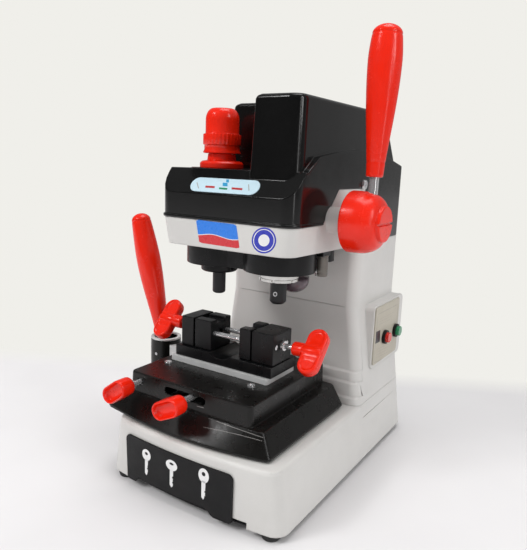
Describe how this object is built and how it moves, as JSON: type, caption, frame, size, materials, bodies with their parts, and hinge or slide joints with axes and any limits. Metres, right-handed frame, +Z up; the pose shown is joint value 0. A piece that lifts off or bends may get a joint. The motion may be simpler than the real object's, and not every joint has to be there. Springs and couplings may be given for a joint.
{
  "type": "key duplicating machine",
  "caption": "Bench key duplicator: a hand lever lowers a tracer and a cutter spindle together over a vise on a joystick-driven cross slide.",
  "frame": {"origin": "on the surface that the feet stand on, under the middle of the base casting's lower edge", "axes": "+Z up, +X to the right as the operator sees the machine, +Y to the back: the operator faces the name plate at -Y"},
  "size_m": [0.4389, 0.4355, 0.6062],
  "materials": {
    "grey_paint": "textured light grey stove paint, slightly rough",
    "black_paint": "satin black paint on machined metal",
    "black_cover": "moulded cover, smooth and glossy",
    "table_black": "fine matt black powder coat",
    "black_plate": "fine matt black",
    "red_plastic": "moulded red plastic, glossy",
    "red_switch": "glossy red cap",
    "green_switch": "glossy green cap",
    "panel_blue": "pale blue printed film under a clear coat",
    "beige_plate": "pale beige enamel, satin",
    "rubber": "matt black rubber",
    "chrome": "polished",
    "steel": "turned bright steel",
    "dark_steel": "blackened and machined",
    "light_metal": "machined light grey, satin",
    "bronze": "sintered bronze",
    "smoked_lens": "smoked translucent dome"
  },
  "bodies": {
    "machine": {"base_casting": "grey_paint", "bottom_plate": "steel", "rubber_feet": "rubber", "machine_screws": "chrome", "name_plate": "black_plate", "column_casting": "grey_paint", "top_cover": "black_cover", "control_panel": "panel_blue", "switch_plate": "beige_plate", "button_bezels": "black_plate", "power_inlet": "black_plate", "shaft_bushings": "bronze", "head_guide_rods": "chrome", "tracer_collar": "red_plastic", "saddle_rods": "chrome", "stick_bracket": "black_paint"},
    "red_button": {"red_button": "red_switch"},
    "green_button": {"green_button": "green_switch"},
    "lever": {"pinion_shaft": "steel", "lever_hub": "red_plastic", "lever_rod": "chrome", "lever_grip": "red_plastic"},
    "carriage": {"carriage_housing": "black_paint", "motor_plate": "dark_steel", "motor": "dark_steel", "drive_belt": "rubber", "spindle_bearings": "steel", "retaining_ring": "steel", "lamp_lens": "smoked_lens", "rack": "steel", "return_spring": "chrome", "tracer_flange": "black_paint"},
    "motor_rotor": {"motor_pulley": "steel"},
    "spindle": {"spindle_shaft": "steel", "chuck": "dark_steel"},
    "tracer_quill": {"tracer_quill": "dark_steel"},
    "tracer_screw": {"tracer_screw": "steel"},
    "tracer_knob": {"tracer_knob": "red_plastic"},
    "saddle": {"saddle": "dark_steel"},
    "saddle_lock": {"saddle_lock": "red_plastic"},
    "table": {"table_rods": "chrome", "table_plate": "light_metal", "table_cover": "table_black", "table_screws": "chrome", "riser_plate": "light_metal", "vise_base": "black_paint", "fixed_jaws": "black_paint", "jaw_rods": "chrome", "joystick_sleeve": "table_black", "joystick_arm": "light_metal"},
    "table_lock": {"table_lock": "red_plastic"},
    "left_jaw": {"left_jaw": "black_paint"},
    "right_jaw": {"right_jaw": "black_paint"},
    "left_clamp": {"left_clamp_screw": "chrome", "left_clamp_knob": "red_plastic"},
    "right_clamp": {"right_clamp_screw": "chrome", "right_clamp_knob": "red_plastic"},
    "gimbal": {"joystick_gimbal": "steel"},
    "joystick": {"joystick_rod": "chrome", "joystick_grip": "red_plastic"}
  },
  "joints": [
    {"name": "carriage_slide", "type": "slide", "parent": "machine", "child": "carriage", "axis": [0, 0, -1], "range_m": [0, 0.028], "stiffness_N_per_m": 1500, "springref_m": -0.075, "deforming": ["return_spring"]},
    {"name": "lever_turn", "type": "hinge", "parent": "machine", "child": "lever", "pos_m": [0, -0.05, 0.371], "axis": [1, 0, 0], "range_deg": [0, 69.8]},
    {"name": "spindle_spin", "type": "hinge", "parent": "carriage", "child": "spindle", "pos_m": [0.0462, -0.075, 0.3], "axis": [0, 0, 1], "continuous": true},
    {"name": "motor_spin", "type": "hinge", "parent": "carriage", "child": "motor_rotor", "pos_m": [0.066, -0.005, 0.34], "axis": [0, 0, 1], "continuous": true},
    {"name": "tracer_knob_turn", "type": "hinge", "parent": "machine", "child": "tracer_knob", "pos_m": [-0.0533, -0.075, 0.46], "axis": [0, 0, 1], "range_deg": [-720, 720]},
    {"name": "tracer_screw_turn", "type": "hinge", "parent": "carriage", "child": "tracer_screw", "pos_m": [-0.0533, -0.075, 0.33], "axis": [0, 0, 1], "range_deg": [-720, 720]},
    {"name": "tracer_slide", "type": "slide", "parent": "carriage", "child": "tracer_quill", "axis": [0, 0, 1], "range_m": [-0.004, 0.004]},
    {"name": "saddle_move", "type": "slide", "parent": "machine", "child": "saddle", "axis": [0, 1, 0], "range_m": [-0.026, 0.008]},
    {"name": "table_move", "type": "slide", "parent": "saddle", "child": "table", "axis": [1, 0, 0], "range_m": [-0.007, 0.03]},
    {"name": "gimbal_tilt", "type": "hinge", "parent": "table", "child": "gimbal", "pos_m": [-0.1873, -0.039, 0.129], "axis": [0, 1, 0], "range_deg": [-4.6, 19.4]},
    {"name": "joystick_tilt", "type": "hinge", "parent": "gimbal", "child": "joystick", "pos_m": [-0.1873, -0.039, 0.129], "axis": [0.9673, 0, 0.2538], "range_deg": [-5.2, 16.7]},
    {"name": "saddle_lock_turn", "type": "hinge", "parent": "saddle", "child": "saddle_lock", "pos_m": [-0.019, -0.2, 0.1365], "axis": [0, -1, 0], "range_deg": [0, 180]},
    {"name": "table_lock_turn", "type": "hinge", "parent": "table", "child": "table_lock", "pos_m": [-0.109, -0.2, 0.1365], "axis": [0, -1, 0], "range_deg": [0, 180]},
    {"name": "left_jaw_slide", "type": "slide", "parent": "table", "child": "left_jaw", "axis": [-1, 0, 0], "range_m": [-0.002, 0.004]},
    {"name": "left_clamp_turn", "type": "hinge", "parent": "left_jaw", "child": "left_clamp", "pos_m": [-0.13, -0.075, 0.197], "axis": [-1, 0, 0], "range_deg": [-360, 720]},
    {"name": "right_jaw_slide", "type": "slide", "parent": "table", "child": "right_jaw", "axis": [1, 0, 0], "range_m": [-0.002, 0.004]},
    {"name": "right_clamp_turn", "type": "hinge", "parent": "right_jaw", "child": "right_clamp", "pos_m": [0.08, -0.075, 0.197], "axis": [1, 0, 0], "range_deg": [-360, 720]},
    {"name": "red_button_press", "type": "slide", "parent": "machine", "child": "red_button", "axis": [-1, 0, 0], "range_m": [0, 0.003], "stiffness_N_per_m": 400, "springref_m": -0.005},
    {"name": "green_button_press", "type": "slide", "parent": "machine", "child": "green_button", "axis": [-1, 0, 0], "range_m": [0, 0.003], "stiffness_N_per_m": 400, "springref_m": -0.005}
  ],
  "couplings": [
    {"joint": "lever_turn", "follows": "carriage_slide", "rad_per_m": 43.478},
    {"joint": "motor_spin", "follows": "spindle_spin", "ratio": 1.2143},
    {"joint": "tracer_knob_turn", "follows": "tracer_slide", "rad_per_m": 3141.6},
    {"joint": "tracer_screw_turn", "follows": "tracer_slide", "rad_per_m": 3141.6},
    {"joint": "gimbal_tilt", "follows": "table_move", "rad_per_m": 11.271},
    {"joint": "joystick_tilt", "follows": "saddle_move", "rad_per_m": -11.148},
    {"joint": "left_clamp_turn", "follows": "left_jaw_slide", "rad_per_m": 3141.6},
    {"joint": "right_clamp_turn", "follows": "right_jaw_slide", "rad_per_m": 3141.6}
  ]
}
